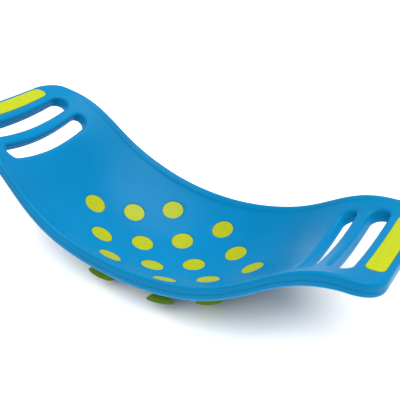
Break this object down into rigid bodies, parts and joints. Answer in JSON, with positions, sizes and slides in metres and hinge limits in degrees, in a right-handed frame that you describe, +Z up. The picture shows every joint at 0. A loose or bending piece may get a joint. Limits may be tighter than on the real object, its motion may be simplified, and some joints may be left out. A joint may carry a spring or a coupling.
{
  "type": "balance board",
  "caption": "Rocking balance board: a dished two-shell plastic deck with hand slots and grip pads at its ends, standing on sprung suction cups.",
  "frame": {"origin": "on the floor under the middle of the deck, with the lowest cup lips at z = 0", "axes": "+X along the board towards its right end, +Y across it, +Z up from the floor to the standing surface"},
  "size_m": [0.686, 0.282, 0.1939],
  "materials": {
    "deck": "satin-gloss blue moulded plastic",
    "pad": "yellow-green soft grip moulding, matt",
    "cap": "yellow-green moulded cap, satin",
    "cup": "yellow-green silicone rubber",
    "screw": "zinc-plated steel"
  },
  "bodies": {
    "deck": {"top_shell": "deck", "bottom_shell": "deck", "left_grip_pad": "pad", "right_grip_pad": "pad", "cup_cap_01": "cap", "cup_cap_02": "cap", "cup_cap_03": "cap", "cup_cap_04": "cap", "cup_cap_05": "cap", "cup_cap_06": "cap", "cup_cap_07": "cap", "cup_cap_08": "cap", "cup_cap_09": "cap", "cup_cap_10": "cap", "cup_cap_11": "cap", "cup_cap_12": "cap", "cup_cap_13": "cap", "cup_cap_14": "cap", "shell_screw_01": "screw", "shell_screw_02": "screw", "shell_screw_03": "screw", "shell_screw_04": "screw", "shell_screw_05": "screw", "shell_screw_06": "screw", "shell_screw_07": "screw", "shell_screw_08": "screw"},
    "cup_01": {"suction_cup_01": "cup"},
    "cup_02": {"suction_cup_02": "cup"},
    "cup_03": {"suction_cup_03": "cup"},
    "cup_04": {"suction_cup_04": "cup"},
    "cup_05": {"suction_cup_05": "cup"},
    "cup_06": {"suction_cup_06": "cup"},
    "cup_07": {"suction_cup_07": "cup"},
    "cup_08": {"suction_cup_08": "cup"},
    "cup_09": {"suction_cup_09": "cup"},
    "cup_10": {"suction_cup_10": "cup"},
    "cup_11": {"suction_cup_11": "cup"},
    "cup_12": {"suction_cup_12": "cup"},
    "cup_13": {"suction_cup_13": "cup"},
    "cup_14": {"suction_cup_14": "cup"}
  },
  "joints": [
    {"name": "cup_01_press", "type": "slide", "parent": "deck", "child": "cup_01", "axis": [0.1395, -0.4268, 0.8935], "range_m": [0, 0.003], "stiffness_N_per_m": 4000, "springref_m": -0.008},
    {"name": "cup_02_press", "type": "slide", "parent": "deck", "child": "cup_02", "axis": [-0.1395, -0.4268, 0.8935], "range_m": [0, 0.003], "stiffness_N_per_m": 4000, "springref_m": -0.008},
    {"name": "cup_03_press", "type": "slide", "parent": "deck", "child": "cup_03", "axis": [0.3325, -0.2189, 0.9173], "range_m": [0, 0.003], "stiffness_N_per_m": 4000, "springref_m": -0.008},
    {"name": "cup_04_press", "type": "slide", "parent": "deck", "child": "cup_04", "axis": [0, -0.2533, 0.9674], "range_m": [0, 0.003], "stiffness_N_per_m": 4000, "springref_m": -0.008},
    {"name": "cup_05_press", "type": "slide", "parent": "deck", "child": "cup_05", "axis": [-0.3325, -0.2189, 0.9173], "range_m": [0, 0.003], "stiffness_N_per_m": 4000, "springref_m": -0.008},
    {"name": "cup_06_press", "type": "slide", "parent": "deck", "child": "cup_06", "axis": [0.5242, 0, 0.8516], "range_m": [0, 0.003], "stiffness_N_per_m": 4000, "springref_m": -0.008},
    {"name": "cup_07_press", "type": "slide", "parent": "deck", "child": "cup_07", "axis": [0.1747, 0, 0.9846], "range_m": [0, 0.003], "stiffness_N_per_m": 4000, "springref_m": -0.008},
    {"name": "cup_08_press", "type": "slide", "parent": "deck", "child": "cup_08", "axis": [-0.1747, 0, 0.9846], "range_m": [0, 0.003], "stiffness_N_per_m": 4000, "springref_m": -0.008},
    {"name": "cup_09_press", "type": "slide", "parent": "deck", "child": "cup_09", "axis": [-0.5242, 0, 0.8516], "range_m": [0, 0.003], "stiffness_N_per_m": 4000, "springref_m": -0.008},
    {"name": "cup_10_press", "type": "slide", "parent": "deck", "child": "cup_10", "axis": [0.3325, 0.2189, 0.9173], "range_m": [0, 0.003], "stiffness_N_per_m": 4000, "springref_m": -0.008},
    {"name": "cup_11_press", "type": "slide", "parent": "deck", "child": "cup_11", "axis": [0, 0.2533, 0.9674], "range_m": [0, 0.003], "stiffness_N_per_m": 4000, "springref_m": -0.008},
    {"name": "cup_12_press", "type": "slide", "parent": "deck", "child": "cup_12", "axis": [-0.3325, 0.2189, 0.9173], "range_m": [0, 0.003], "stiffness_N_per_m": 4000, "springref_m": -0.008},
    {"name": "cup_13_press", "type": "slide", "parent": "deck", "child": "cup_13", "axis": [0.1395, 0.4268, 0.8935], "range_m": [0, 0.003], "stiffness_N_per_m": 4000, "springref_m": -0.008},
    {"name": "cup_14_press", "type": "slide", "parent": "deck", "child": "cup_14", "axis": [-0.1395, 0.4268, 0.8935], "range_m": [0, 0.003], "stiffness_N_per_m": 4000, "springref_m": -0.008}
  ]
}
